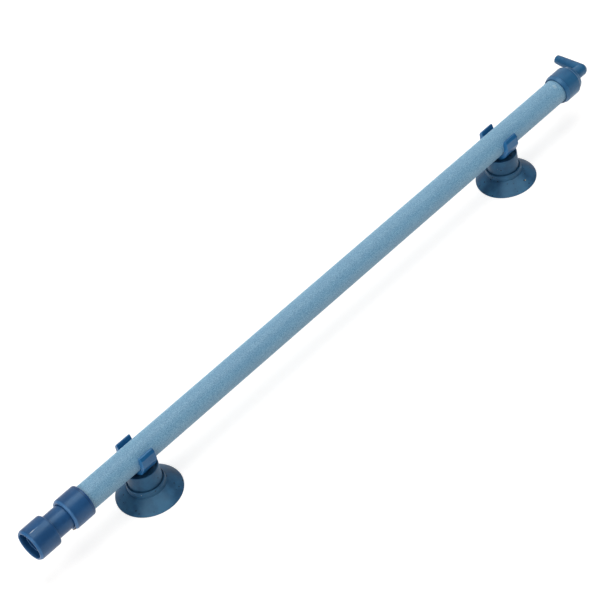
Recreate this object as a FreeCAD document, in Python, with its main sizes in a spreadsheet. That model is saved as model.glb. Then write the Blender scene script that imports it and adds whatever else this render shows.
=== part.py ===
"""Bubble wall tube for an aquarium, in millimetres.

A porous tube lies along +X and is held by two C-shaped clips. Each clip is plugged into a rubber suction cup
that stands on z = 0. The tube's near end, towards -X, sits in a ferrule, and an extension coupling for a
further tube is plugged into the ferrule. The far end sits in an inlet cap, whose elbow carries the hose barb.
The origin is in the plane of the cup rims, under the middle of the whole object.
"""

import FreeCAD, Part

import math
import os

import Sketcher

# The driving dimensions: name, value, meaning.
SIZES = [
    ("tube_radius", 6.0, "outside of the porous tube"),
    ("tube_bore_radius", 4.3, "inside of the porous tube"),
    ("tube_length", 322.5, "porous tube, end to end"),
    ("tube_edge", 0.3, "chamfer round both ends of the tube"),
    ("near_clip_inset", 34.8, "from the near end of the tube to the middle of the near clip"),
    ("clip_spacing", 238.0, "from the middle of one clip to the middle of the other"),
    ("seat_clearance", 0.1, "radial play between the tube and what it sits in or on"),
    ("socket_flare", 0.35, "how much wider a tube socket is at its mouth"),
    ("socket_flare_depth", 1.2, "depth of that flare"),
    ("spigot_edge", 0.25, "chamfer round the tip of each inner spigot"),
    ("ring_length", 11.0, "ring of the extension coupling, along the tube"),
    ("ring_radius", 7.42, "outside of the ring"),
    ("ring_socket_depth", 9.4, "depth of the socket for a further tube"),
    ("ring_spigot_recess", 2.0, "how far the inner spigot lies behind the mouth"),
    ("ring_spigot_bore", 3.35, "inside radius of the ring's spigot"),
    ("neck_radius", 5.75, "outside of the coupling's neck"),
    ("neck_visible", 7.9, "neck between the ring and the ferrule"),
    ("rim_length", 1.2, "sloping rim of the ring's and the ferrule's mouth, along the tube"),
    ("rim_drop", 0.65, "how much narrower each mouth is at its front edge"),
    ("shoulder_bevel", 0.6, "bevel of the ring's shoulder"),
    ("ferrule_length", 11.2, "ferrule, along the tube"),
    ("ferrule_radius", 7.45, "outside of the ferrule"),
    ("ferrule_bevel", 0.55, "bevel of the ferrule's rim at the tube's side"),
    ("neck_gap", 0.45, "open ring between the neck and the ferrule's mouth"),
    ("neck_seat_depth", 5.6, "how far the neck goes into the ferrule"),
    ("ferrule_web", 1.0, "wall between the ferrule's two sockets"),
    ("ferrule_bore", 3.0, "air way through the ferrule"),
    ("tube_spigot_length", 3.6, "ferrule's spigot inside the tube"),
    ("cap_body_length", 9.8, "inlet cap's wide body, along the tube"),
    ("cap_radius", 7.38, "outside of the cap's body"),
    ("cap_rim_length", 1.9, "sloping rim of the cap's mouth, along the tube"),
    ("cap_seat_depth", 7.0, "how far the tube goes into the cap"),
    ("cap_spigot_length", 4.6, "cap's spigot inside the tube"),
    ("cap_chamber_radius", 3.2, "air chamber inside the cap"),
    ("cap_step", 0.35, "radial step from the body down to the shoulder"),
    ("cap_shoulder_length", 2.6, "tapered shoulder behind the body"),
    ("cap_shoulder_radius", 6.1, "outside of the shoulder at its back"),
    ("cap_back_wall", 1.6, "wall behind the air chamber"),
    ("cap_bevel", 0.3, "bevel of the edges at the back of the cap"),
    ("stub_length", 7.1, "from the cap's back face to the axis of the barb"),
    ("stub_radius", 3.05, "outside of the stub and of the elbow's corner"),
    ("stub_bore", 1.5, "air way in the stub"),
    ("barb_length", 14.5, "from the tube's axis to the tip of the barb"),
    ("barb_tip_radius", 2.2, "outside of the barb at its tip"),
    ("barb_bore", 1.3, "air way in the barb"),
    ("barb_rise", 5.0, "angle of the barb above the horizontal, in degrees"),
    ("barb_edge", 0.25, "bevel round the tip of the barb"),
    ("clip_length", 7.8, "clip, along the tube"),
    ("clip_wall", 1.95, "wall of the clip under the tube"),
    ("grip_angle", 17.0, "how far above the horizontal the clip hugs the tube, in degrees"),
    ("hip_angle", 35.0, "where the round underside of the clip ends, below the horizontal, in degrees"),
    ("cheek_wall", 2.4, "wall of the clip beside the tube"),
    ("cheek_drop", 1.0, "lower edge of the flat cheek, below the tube's axis"),
    ("cheek_rise", 3.0, "upper edge of the flat cheek, above the tube's axis"),
    ("cheek_lean", 0.15, "how much the cheek leans in towards its upper edge"),
    ("lip_outer_reach", 1.4, "outer corner of the lip, outside the grip"),
    ("lip_outer_rise", 4.3, "outer corner of the lip, above the tube's axis"),
    ("lip_tip_reach", 0.5, "tip of the lip, outside the grip"),
    ("lip_tip_rise", 4.65, "tip of the lip, above the tube's axis"),
    ("lip_round", 0.35, "rounding of the lip's corners"),
    ("cheek_round", 2.0, "rounding of the cheek's lower edge"),
    ("clip_edge", 0.2, "bevel round the clip's end faces"),
    ("boss_radius", 3.6, "round foot under the clip"),
    ("boss_step", 0.85, "height of that foot below the clip"),
    ("boss_root", 1.4, "how far that foot reaches up into the clip's wall"),
    ("plug_neck_radius", 2.4, "neck of the plug"),
    ("plug_neck_length", 2.0, "length of that neck"),
    ("plug_bulb_radius", 3.2, "bulb of the plug"),
    ("plug_bulb_length", 2.8, "bulb and its taper together"),
    ("plug_taper_length", 1.4, "taper of the bulb"),
    ("plug_tip_radius", 1.8, "flat tip of the plug"),
    ("plug_clearance", 0.1, "play between the plug and the rubber"),
    ("cup_radius", 15.2, "rim of the suction cup"),
    ("cup_height", 15.4, "from the rim to the top of the stem"),
    ("rim_thickness", 0.5, "upright edge of the rim"),
    ("rim_land", 0.9, "flat ring of the rim that touches the surface"),
    ("dish_depth", 3.9, "hollow under the cup"),
    ("dish_roof_radius", 6.5, "flat middle of that hollow"),
    ("brow_inset", 0.7, "from the rim in to the start of the skirt"),
    ("brow_height", 0.95, "height of the skirt there"),
    ("shoulder_radius", 13.1, "where the skirt's round brow ends"),
    ("shoulder_height", 2.1, "height of the skirt there"),
    ("hollow_radius", 10.05, "where the skirt steepens towards the bead"),
    ("hollow_height", 3.98, "height of the skirt there"),
    ("bead_radius", 8.75, "outside of the bead round the stem"),
    ("bead_foot", 5.2, "height where the skirt meets the bead"),
    ("bead_shoulder", 7.1, "height where the bead starts to curve in"),
    ("bead_top", 7.95, "top of the bead"),
    ("bead_turn_radius", 8.5, "middle of the bead's curved shoulder"),
    ("bead_turn", 7.65, "height of the bead there"),
    ("groove_width", 0.45, "groove between the bead and the stem"),
    ("groove_floor", 7.2, "height of the groove's floor"),
    ("stem_radius", 7.55, "outside of the stem"),
    ("stem_edge", 0.25, "bevel of the stem's top edge"),
    ("recess_radius", 6.6, "recess in the top of the stem"),
    ("recess_depth", 1.5, "depth of that recess"),
]

# What follows from them: name, formula, meaning.
LAYOUT = [
    ("bbox_left", "=-(Sizes.neck_seat_depth + Sizes.ferrule_web + Sizes.neck_visible + Sizes.ring_length)",
     "coupling's mouth, from the near end of the tube"),
    ("cap_length", "=Sizes.cap_body_length + Sizes.cap_shoulder_length", "cap without its stub"),
    ("elbow_x", "=cap_length + Sizes.stub_length", "axis of the barb, from the cap's mouth"),
    ("bbox_right", "=Sizes.tube_length - Sizes.cap_seat_depth + elbow_x + Sizes.stub_radius",
     "outside of the elbow, from the near end of the tube"),
    ("tube_x", "=-(bbox_left + bbox_right) / 2", "near end of the tube"),
    ("ferrule_x", "=tube_x - Sizes.neck_seat_depth - Sizes.ferrule_web", "ferrule's mouth"),
    ("coupling_x", "=tube_x + bbox_left", "coupling's mouth"),
    ("cap_x", "=tube_x + Sizes.tube_length - Sizes.cap_seat_depth", "cap's mouth"),
    ("near_clip_x", "=tube_x + Sizes.near_clip_inset", "middle of the near clip"),
    ("far_clip_x", "=near_clip_x + Sizes.clip_spacing", "middle of the far clip"),
    ("grip_radius", "=Sizes.tube_radius + Sizes.seat_clearance", "inside of the clip"),
    ("clip_radius", "=grip_radius + Sizes.clip_wall", "outside of the clip under the tube"),
    ("seat_z", "=-(clip_radius + Sizes.boss_step)", "underside of the clip's foot, from the tube's axis"),
    ("recess_floor", "=Sizes.cup_height - Sizes.recess_depth", "floor of the recess in the stem"),
    ("axis_height", "=recess_floor - seat_z", "tube's axis above the cup rims"),
    ("socket_radius", "=Sizes.tube_radius + Sizes.seat_clearance", "inside of every tube socket"),
    ("socket_mouth", "=socket_radius + Sizes.socket_flare", "inside of a tube socket at its mouth"),
    ("spigot_radius", "=Sizes.tube_bore_radius - Sizes.seat_clearance", "every spigot that goes into a tube"),
    ("spigot_tip", "=spigot_radius - Sizes.spigot_edge", "the same at its chamfered tip"),
    ("ring_spigot_flank", "=Sizes.ring_spigot_recess + Sizes.spigot_edge", "end of that chamfer in the ring"),
    ("neck_end", "=Sizes.ring_length + Sizes.neck_visible + Sizes.neck_seat_depth", "end face of the neck"),
    ("ring_mouth", "=Sizes.ring_radius - Sizes.rim_drop", "outside of the ring at its front edge"),
    ("ferrule_mouth", "=Sizes.ferrule_radius - Sizes.rim_drop", "outside of the ferrule at its front edge"),
    ("cap_mouth", "=Sizes.cap_radius - Sizes.rim_drop", "outside of the cap at its front edge"),
    ("neck_socket_radius", "=Sizes.neck_radius + Sizes.neck_gap", "inside of the ferrule's mouth"),
    ("ferrule_web_back", "=Sizes.neck_seat_depth + Sizes.ferrule_web", "seat of the tube in the ferrule"),
    ("tube_spigot_end", "=ferrule_web_back + Sizes.tube_spigot_length", "tip of the spigot in the tube"),
    ("tube_spigot_flank", "=tube_spigot_end - Sizes.spigot_edge", "start of its chamfer"),
    ("ferrule_flare", "=Sizes.ferrule_length - Sizes.socket_flare_depth", "start of the ferrule's flare"),
    ("cap_spigot_start", "=Sizes.cap_seat_depth - Sizes.cap_spigot_length", "tip of the cap's spigot"),
    ("cap_spigot_flank", "=cap_spigot_start + Sizes.spigot_edge", "end of its chamfer"),
    ("cap_shoulder_front", "=Sizes.cap_radius - Sizes.cap_step", "outside of the shoulder at its front"),
    ("cap_chamber_end", "=cap_length - Sizes.cap_back_wall", "end of the air chamber"),
    ("elbow_bore_end", "=elbow_x + Sizes.barb_bore", "end of the air way along the tube's axis"),
    ("barb_root", "=-Sizes.stub_radius", "round back of the elbow, below the barb's start"),
    ("grip_y", "=grip_radius * cos(Sizes.grip_angle)", "where the clip stops hugging the tube"),
    ("grip_z", "=grip_radius * sin(Sizes.grip_angle)", "the same, above the tube's axis"),
    ("grip_bottom", "=-grip_radius", "inside of the clip under the tube"),
    ("clip_bottom", "=-clip_radius", "outside of the clip under the tube"),
    ("hip_y", "=clip_radius * cos(Sizes.hip_angle)", "where the clip's round underside ends"),
    ("hip_z", "=-clip_radius * sin(Sizes.hip_angle)", "the same, above the tube's axis"),
    ("cheek_low_y", "=grip_radius + Sizes.cheek_wall", "lower edge of the cheek"),
    ("cheek_low_z", "=-Sizes.cheek_drop", "the same, above the tube's axis"),
    ("cheek_high_y", "=cheek_low_y - Sizes.cheek_lean", "upper edge of the cheek"),
    ("lip_outer_y", "=grip_radius + Sizes.lip_outer_reach", "outer corner of the lip"),
    ("lip_tip_y", "=grip_radius + Sizes.lip_tip_reach", "tip of the lip"),
    ("boss_top", "=-(clip_radius - Sizes.boss_root)", "top of the foot, inside the clip's wall"),
    ("plug_neck_z", "=seat_z - Sizes.plug_neck_length", "lower end of the plug's neck"),
    ("plug_tip_z", "=plug_neck_z - Sizes.plug_bulb_length", "flat tip of the plug"),
    ("plug_flank_z", "=plug_tip_z + Sizes.plug_taper_length", "start of the plug's taper"),
    ("cup_neck_radius", "=Sizes.plug_neck_radius + Sizes.plug_clearance", "hole for the plug's neck"),
    ("cup_bulb_radius", "=Sizes.plug_bulb_radius + Sizes.plug_clearance", "hollow for the plug's bulb"),
    ("cup_bulb_top", "=axis_height + plug_neck_z + Sizes.plug_clearance", "roof of that hollow"),
    ("cup_bulb_floor", "=axis_height + plug_tip_z - Sizes.plug_clearance", "floor of that hollow"),
    ("brow_radius", "=Sizes.cup_radius - Sizes.brow_inset", "outer start of the skirt"),
    ("dish_radius", "=Sizes.cup_radius - Sizes.rim_land", "edge of the hollow under the cup"),
    ("groove_outer", "=Sizes.stem_radius + Sizes.groove_width", "outer side of the groove"),
    ("zero", "=0", "on the axis"),
]

DRIVING = {name for name, value, meaning in SIZES}
TOLERANCE = 1e-4

doc = FreeCAD.newDocument("bubble_wall_tube")


def fill_sheet(label, rows):
    """A sheet with one named cell a row, and what the cell means beside it."""
    sheet = doc.addObject("Spreadsheet::Sheet", label)
    for number, (name, content, meaning) in enumerate(rows, start=1):
        sheet.set("A%d" % number, name)
        sheet.set("B%d" % number, str(content))
        sheet.setAlias("B%d" % number, name)
        sheet.set("C%d" % number, meaning)
    return sheet


sizes = fill_sheet("Sizes", SIZES)
layout = fill_sheet("Layout", LAYOUT)
doc.recompute()


def cell(name):
    """The full name of a named cell, for an expression."""
    return ("Sizes." if name in DRIVING else "Layout.") + name


def amount(name):
    """The value of a named cell."""
    return float(getattr(sizes if name in DRIVING else layout, name))


def new_body(label, x_name="zero", z_name="zero"):
    """An empty body that stands where the named cells say."""
    body = doc.addObject("PartDesign::Body", label)
    body.Label = label
    body.setExpression(".Placement.Base.x", cell(x_name))
    body.setExpression(".Placement.Base.z", cell(z_name))
    return body


def plane_of(body, role):
    """One of the body's own origin planes."""
    return [item for item in body.Origin.OriginFeatures if item.Role == role][0]


def new_sketch(body, name, role):
    """An empty sketch on one of the body's origin planes."""
    sketch = body.newObject("Sketcher::SketchObject", name)
    sketch.AttachmentSupport = [(plane_of(body, role), "")]
    sketch.MapMode = "FlatFace"
    return sketch


def arc_between(start, end, radius, turn):
    """The short arc between two points; turn is 1 if it runs counter-clockwise, -1 if clockwise."""
    chord = end - start
    middle = (start + end) * 0.5
    height = math.sqrt(max(radius ** 2 - (chord.Length / 2) ** 2, 0))
    normal = FreeCAD.Vector(-chord.y, chord.x, 0).normalize()
    centre = middle + normal * height * turn
    apex = centre - normal * radius * turn
    return Part.Arc(start, apex, end)


def pin_point(sketch, edge, end, x_name, y_name):
    """Ties one end of an edge to the named cells."""
    if x_name == "zero":
        sketch.addConstraint(Sketcher.Constraint("PointOnObject", edge, end, -2))
    else:
        index = sketch.addConstraint(Sketcher.Constraint("DistanceX", -1, 1, edge, end, amount(x_name)))
        sketch.setExpression("Constraints[%d]" % index, cell(x_name))
    if y_name == "zero":
        sketch.addConstraint(Sketcher.Constraint("PointOnObject", edge, end, -1))
    else:
        index = sketch.addConstraint(Sketcher.Constraint("DistanceY", -1, 1, edge, end, amount(y_name)))
        sketch.setExpression("Constraints[%d]" % index, cell(y_name))


def outline(sketch, corners, arcs=None):
    """A closed outline through corners given by cell names.

    arcs says which sides are round: the number of the corner where the side starts, then its radius and turn.
    """
    arcs = arcs or {}
    points = [FreeCAD.Vector(amount(x_name), amount(y_name), 0) for x_name, y_name in corners]
    edges = []
    for number, start in enumerate(points):
        end = points[(number + 1) % len(points)]
        if number in arcs:
            radius_name, turn = arcs[number]
            edges.append(sketch.addGeometry(arc_between(start, end, amount(radius_name), turn)))
        else:
            edges.append(sketch.addGeometry(Part.LineSegment(start, end)))
    first_end = {}
    last_end = {}
    for number, edge in enumerate(edges):
        runs_backwards = number in arcs and arcs[number][1] < 0
        first_end[number] = 2 if runs_backwards else 1
        last_end[number] = 1 if runs_backwards else 2
    for number, edge in enumerate(edges):
        following = (number + 1) % len(edges)
        sketch.addConstraint(Sketcher.Constraint(
            "Coincident", edge, last_end[number], edges[following], first_end[following]))
    for number, (x_name, y_name) in enumerate(corners):
        pin_point(sketch, edges[number], first_end[number], x_name, y_name)
    for number, (radius_name, turn) in arcs.items():
        index = sketch.addConstraint(Sketcher.Constraint("Radius", edges[number], amount(radius_name)))
        sketch.setExpression("Constraints[%d]" % index, cell(radius_name))


def add_feature(body, kind, name, profile, **properties):
    """A PartDesign feature on the body's tip, checked by whether it adds or removes volume."""
    before = body.Shape.Volume if body.Tip else 0.0
    feature = body.newObject("PartDesign::" + kind, name)
    feature.Profile = profile
    for key, value in properties.items():
        setattr(feature, key, value)
    profile.Visibility = False
    doc.recompute()
    grew = body.Shape.Volume > before + TOLERANCE
    shrank = body.Shape.Volume < before - TOLERANCE
    if kind in ("Groove", "Pocket") and not shrank:
        raise ValueError(name + " cuts nothing")
    if kind not in ("Groove", "Pocket") and not grew:
        raise ValueError(name + " adds nothing")
    return feature


def circles(shape):
    """The shape's circular edges, each with its name."""
    found = []
    for number, edge in enumerate(shape.Edges, start=1):
        try:
            curve = edge.Curve
        except TypeError:
            continue
        if isinstance(curve, Part.Circle):
            found.append(("Edge%d" % number, curve))
    return found


def circles_at(shape, axis, place, radius):
    """Names of the shape's round edges at a place along an axis, with a given radius."""
    found = []
    for name, curve in circles(shape):
        if abs(getattr(curve.Center, axis) - place) < TOLERANCE and abs(curve.Radius - radius) < TOLERANCE:
            found.append(name)
    return found


def dress(body, kind, name, size_name, edges):
    """A fillet or a chamfer on the tip's named edges, sized by a cell."""
    if not edges:
        raise ValueError(name + " finds no edge")
    base = body.Tip
    feature = body.newObject("PartDesign::" + kind, name)
    feature.Base = (base, edges)
    feature.setExpression("Radius" if kind == "Fillet" else "Size", cell(size_name))
    doc.recompute()
    return feature


def bevel_circles(body, name, size_name, spots, axis="x"):
    """Bevels the circular edges at the given spots, each a place along the axis and a radius."""
    edges = []
    for place_name, radius_name in spots:
        edges += circles_at(body.Tip.Shape, axis, amount(place_name), amount(radius_name))
    return dress(body, "Chamfer", name, size_name, edges)


def turned(body, name, corners, arcs=None, role="XZ_Plane", axis="H_Axis"):
    """A full turn of an outline about an axis of its own sketch."""
    sketch = new_sketch(body, name + "_outline", role)
    outline(sketch, corners, arcs)
    return add_feature(body, "Revolution", name, sketch, ReferenceAxis=(sketch, [axis]), Angle=360.0)


def make_tube():
    """The porous tube: a plain pipe with chamfered ends."""
    body = new_body("porous_tube", "tube_x", "axis_height")
    turned(body, "pipe", [
        ("zero", "tube_bore_radius"), ("zero", "tube_radius"),
        ("tube_length", "tube_radius"), ("tube_length", "tube_bore_radius")])
    bevel_circles(body, "pipe_ends", "tube_edge", [("zero", "tube_radius"), ("tube_length", "tube_radius")])
    return body


def make_coupling():
    """The extension coupling: a ring with an inner spigot, and the neck that goes into the ferrule."""
    body = new_body("extension_coupling", "coupling_x", "axis_height")
    turned(body, "ring_and_neck", [
        ("ring_spigot_recess", "ring_spigot_bore"), ("ring_spigot_recess", "spigot_tip"),
        ("ring_spigot_flank", "spigot_radius"), ("ring_socket_depth", "spigot_radius"),
        ("ring_socket_depth", "socket_radius"), ("socket_flare_depth", "socket_radius"),
        ("zero", "socket_mouth"), ("zero", "ring_mouth"), ("rim_length", "ring_radius"),
        ("ring_length", "ring_radius"), ("ring_length", "neck_radius"),
        ("neck_end", "neck_radius"), ("neck_end", "ring_spigot_bore")])
    bevel_circles(body, "ring_shoulder", "shoulder_bevel", [("ring_length", "ring_radius")])
    return body


def make_ferrule():
    """The ferrule: a socket for the neck, a web, and a socket for the tube with a spigot inside."""
    body = new_body("tube_ferrule", "ferrule_x", "axis_height")
    turned(body, "double_socket", [
        ("neck_seat_depth", "ferrule_bore"), ("neck_seat_depth", "neck_socket_radius"),
        ("zero", "neck_socket_radius"), ("zero", "ferrule_mouth"),
        ("rim_length", "ferrule_radius"), ("ferrule_length", "ferrule_radius"),
        ("ferrule_length", "socket_mouth"), ("ferrule_flare", "socket_radius"),
        ("ferrule_web_back", "socket_radius"), ("ferrule_web_back", "spigot_radius"),
        ("tube_spigot_flank", "spigot_radius"), ("tube_spigot_end", "spigot_tip"),
        ("tube_spigot_end", "ferrule_bore")])
    bevel_circles(body, "tube_side_rim", "ferrule_bevel", [("ferrule_length", "ferrule_radius")])
    return body


def make_cap():
    """The inlet cap: the tube's socket, a tapered shoulder, and an elbow with a tapered hose barb."""
    body = new_body("inlet_cap", "cap_x", "axis_height")
    turned(body, "cap_and_stub", [
        ("cap_spigot_start", "cap_chamber_radius"), ("cap_spigot_start", "spigot_tip"),
        ("cap_spigot_flank", "spigot_radius"), ("cap_seat_depth", "spigot_radius"),
        ("cap_seat_depth", "socket_radius"), ("socket_flare_depth", "socket_radius"),
        ("zero", "socket_mouth"), ("zero", "cap_mouth"), ("cap_rim_length", "cap_radius"),
        ("cap_body_length", "cap_radius"), ("cap_body_length", "cap_shoulder_front"),
        ("cap_length", "cap_shoulder_radius"), ("cap_length", "stub_radius"),
        ("elbow_x", "stub_radius"), ("elbow_x", "zero"),
        ("cap_chamber_end", "zero"), ("cap_chamber_end", "cap_chamber_radius")])
    bevel_circles(body, "back_edges", "cap_bevel", [("cap_length", "cap_shoulder_radius")])
    bevel_circles(body, "stub_root", "cap_bevel", [("cap_length", "stub_radius")])

    def barb_sketch(name):
        sketch = new_sketch(body, name, "XY_Plane")
        sketch.AttachmentOffset = FreeCAD.Placement(
            FreeCAD.Vector(amount("elbow_x"), 0, 0),
            FreeCAD.Rotation(FreeCAD.Vector(1, 0, 0), amount("barb_rise")))
        sketch.setExpression(".AttachmentOffset.Base.x", cell("elbow_x"))
        sketch.setExpression(".AttachmentOffset.Rotation.Angle", cell("barb_rise"))
        return sketch

    barb = barb_sketch("barb_outline")
    outline(barb, [("zero", "barb_root"), ("stub_radius", "zero"),
                   ("barb_tip_radius", "barb_length"), ("zero", "barb_length")], {0: ("stub_radius", 1)})
    add_feature(body, "Revolution", "elbow_and_barb", barb, ReferenceAxis=(barb, ["V_Axis"]), Angle=360.0)

    stub_way = new_sketch(body, "stub_way_outline", "XZ_Plane")
    outline(stub_way, [("cap_chamber_end", "zero"), ("cap_chamber_end", "stub_bore"),
                       ("elbow_bore_end", "stub_bore"), ("elbow_bore_end", "zero")])
    add_feature(body, "Groove", "stub_way", stub_way, ReferenceAxis=(stub_way, ["H_Axis"]), Angle=360.0)

    barb_way = barb_sketch("barb_way_outline")
    outline(barb_way, [("zero", "zero"), ("barb_bore", "zero"),
                       ("barb_bore", "barb_length"), ("zero", "barb_length")])
    add_feature(body, "Groove", "barb_way", barb_way, ReferenceAxis=(barb_way, ["V_Axis"]), Angle=360.0)

    tip_edges = [name for name, curve in circles(body.Tip.Shape)
                 if abs(curve.Radius - amount("barb_tip_radius")) < TOLERANCE]
    dress(body, "Chamfer", "barb_tip", "barb_edge", tip_edges)
    return body


def make_clip(label, x_name):
    """A C-shaped clip: half its section is padded and mirrored, then its foot and plug are turned."""
    body = new_body(label, x_name, "axis_height")
    section = new_sketch(body, "half_section", "YZ_Plane")
    outline(section, [
        ("zero", "clip_bottom"), ("hip_y", "hip_z"), ("cheek_low_y", "cheek_low_z"),
        ("cheek_high_y", "cheek_rise"), ("lip_outer_y", "lip_outer_rise"), ("lip_tip_y", "lip_tip_rise"),
        ("grip_y", "grip_z"), ("zero", "grip_bottom")], {0: ("clip_radius", 1), 6: ("grip_radius", -1)})
    half = add_feature(body, "Pad", "half_clip", section, SideType="Symmetric")
    half.setExpression("Length", cell("clip_length"))
    doc.recompute()
    round_long_edges(body, "lip_corners", "lip_round",
                     [("lip_outer_y", "lip_outer_rise"), ("lip_tip_y", "lip_tip_rise")])
    round_long_edges(body, "cheek_corners", "cheek_round", [("cheek_low_y", "cheek_low_z")])
    dress(body, "Chamfer", "end_edges", "clip_edge", end_face_edges(body.Tip.Shape))

    mirror = body.newObject("PartDesign::Mirrored", "both_halves")
    mirror.TransformMode = "Whole shape"
    mirror.MirrorPlane = (plane_of(body, "XZ_Plane"), [""])
    body.Tip = mirror
    doc.recompute()

    turned(body, "foot_and_plug", [
        ("zero", "boss_top"), ("boss_radius", "boss_top"), ("boss_radius", "seat_z"),
        ("plug_neck_radius", "seat_z"), ("plug_neck_radius", "plug_neck_z"),
        ("plug_bulb_radius", "plug_neck_z"), ("plug_bulb_radius", "plug_flank_z"),
        ("plug_tip_radius", "plug_tip_z"), ("zero", "plug_tip_z")], axis="V_Axis")
    return body


def end_face_edges(shape):
    """Names of the edges round a clip's end faces.

    The cut at the middle isn't among them, nor the round underside, which the rounding reaches by itself.
    """
    half_length = amount("clip_length") / 2
    found = []
    for number, edge in enumerate(shape.Edges, start=1):
        box = edge.BoundBox
        is_at_end = box.XLength < TOLERANCE and abs(abs(box.XMin) - half_length) < TOLERANCE
        is_at_middle = box.YMax < TOLERANCE
        is_underside = box.ZMin < amount("grip_bottom") - TOLERANCE
        if is_at_end and not is_at_middle and not is_underside:
            found.append("Edge%d" % number)
    return found


def round_long_edges(body, name, size_name, corners):
    """Rounds the straight edges of a clip that run along the tube through the given section corners."""
    shape = body.Tip.Shape
    edges = []
    for number, edge in enumerate(shape.Edges, start=1):
        middle = edge.BoundBox.Center
        is_long = edge.BoundBox.XLength > amount("clip_length") / 2
        for y_name, z_name in corners:
            near_y = abs(abs(middle.y) - amount(y_name)) < TOLERANCE
            near_z = abs(middle.z - amount(z_name)) < TOLERANCE
            if is_long and near_y and near_z:
                edges.append("Edge%d" % number)
    return dress(body, "Fillet", name, size_name, edges)


def make_cup(label, x_name):
    """A suction cup: rim, skirt, bead and stem, with the hollow for the clip's plug."""
    body = new_body(label, x_name)
    turned(body, "cup", [
        ("zero", "dish_depth"), ("dish_roof_radius", "dish_depth"), ("dish_radius", "zero"),
        ("cup_radius", "zero"), ("cup_radius", "rim_thickness"), ("brow_radius", "brow_height"),
        ("shoulder_radius", "shoulder_height"), ("hollow_radius", "hollow_height"),
        ("bead_radius", "bead_foot"), ("bead_radius", "bead_shoulder"),
        ("bead_turn_radius", "bead_turn"), ("groove_outer", "bead_top"),
        ("groove_outer", "groove_floor"), ("stem_radius", "groove_floor"),
        ("stem_radius", "cup_height"), ("recess_radius", "cup_height"),
        ("recess_radius", "recess_floor"), ("cup_neck_radius", "recess_floor"),
        ("cup_neck_radius", "cup_bulb_top"), ("cup_bulb_radius", "cup_bulb_top"),
        ("cup_bulb_radius", "cup_bulb_floor"), ("zero", "cup_bulb_floor")], axis="V_Axis")
    bevel_circles(body, "stem_rim", "stem_edge", [("cup_height", "stem_radius")], axis="z")
    return body


def make_pieces():
    """Every piece of the object, in the order from the near end to the far end."""
    pieces = [make_coupling(), make_ferrule(), make_tube(), make_cap()]
    for side in ("near", "far"):
        pieces.append(make_clip("clip_" + side, side + "_clip_x"))
        pieces.append(make_cup("suction_cup_" + side, side + "_clip_x"))
    return pieces


def check_document():
    """Stops on any object that failed to compute."""
    for item in doc.Objects:
        if "Invalid" in item.State or "Error" in item.State:
            raise ValueError("%s failed: %s" % (item.Label, item.State))


def check_piece(piece):
    """Stops on a piece whose shape is empty, faulty or in several solids."""
    shape = piece.Shape
    if shape.isNull() or not shape.isValid():
        raise ValueError(piece.Label + " has no valid shape")
    if len(shape.Solids) != 1:
        raise ValueError("%s has %d solids" % (piece.Label, len(shape.Solids)))


def main():
    """Builds the pieces, checks them and writes one file for each."""
    pieces = make_pieces()
    doc.recompute()
    check_document()
    for piece in pieces:
        check_piece(piece)
    os.makedirs("parts", exist_ok=True)
    for piece in pieces:
        piece.Shape.exportStep(os.path.join("parts", piece.Label + ".step"))
        box = piece.Shape.BoundBox
        print("%-20s %9.1f mm3  x %8.2f to %8.2f  y %6.2f to %6.2f  z %6.2f to %6.2f" % (
            piece.Label, piece.Shape.Volume, box.XMin, box.XMax, box.YMin, box.YMax, box.ZMin, box.ZMax))


main()
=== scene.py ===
# %% [markdown]
# # A bubble wall tube
#
# This lesson dresses the parts of an aquarium air diffuser: a long porous tube, the satin fittings pushed onto its
# ends, two clips and the rubber suction cups that carry them. Every part comes measured in model.glb. The work here
# is the surfaces, the rounding of the moulded edges, a few small traces of moulding and use, the light and the camera.

# %% Load the measured parts
import math

import bmesh
import bpy
from mathutils import Euler, Matrix, Vector


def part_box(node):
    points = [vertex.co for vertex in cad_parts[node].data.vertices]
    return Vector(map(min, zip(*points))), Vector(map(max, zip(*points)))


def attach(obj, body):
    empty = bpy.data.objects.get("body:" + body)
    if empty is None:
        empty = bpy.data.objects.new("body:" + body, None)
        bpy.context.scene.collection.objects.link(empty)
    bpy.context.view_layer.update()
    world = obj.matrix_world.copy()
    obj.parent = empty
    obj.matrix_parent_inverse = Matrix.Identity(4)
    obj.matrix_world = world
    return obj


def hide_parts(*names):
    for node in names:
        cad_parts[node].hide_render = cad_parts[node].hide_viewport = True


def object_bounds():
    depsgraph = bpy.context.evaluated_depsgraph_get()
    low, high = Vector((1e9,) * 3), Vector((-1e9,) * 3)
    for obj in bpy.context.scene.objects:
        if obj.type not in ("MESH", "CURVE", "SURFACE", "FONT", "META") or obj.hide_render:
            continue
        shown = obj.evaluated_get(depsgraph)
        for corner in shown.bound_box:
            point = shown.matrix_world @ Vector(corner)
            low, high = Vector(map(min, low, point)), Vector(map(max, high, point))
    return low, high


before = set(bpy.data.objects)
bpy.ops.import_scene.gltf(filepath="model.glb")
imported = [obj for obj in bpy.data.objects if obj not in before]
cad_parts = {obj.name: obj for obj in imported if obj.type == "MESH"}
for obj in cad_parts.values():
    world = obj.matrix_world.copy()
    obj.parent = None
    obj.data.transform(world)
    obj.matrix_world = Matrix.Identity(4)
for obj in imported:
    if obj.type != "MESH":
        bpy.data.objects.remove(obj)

MM = 0.001
cad_low, cad_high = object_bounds()
print("parts:", ", ".join(sorted(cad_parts)))
print("the whole object in mm:", [round(side / MM, 1) for side in cad_high - cad_low])

# %% [markdown]
# ## Places that several steps need
#
# The tube runs along +X. Its axis height and the near ends of the fittings are read from the boxes of the parts, so
# that nothing here repeats a number of the model.

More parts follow.
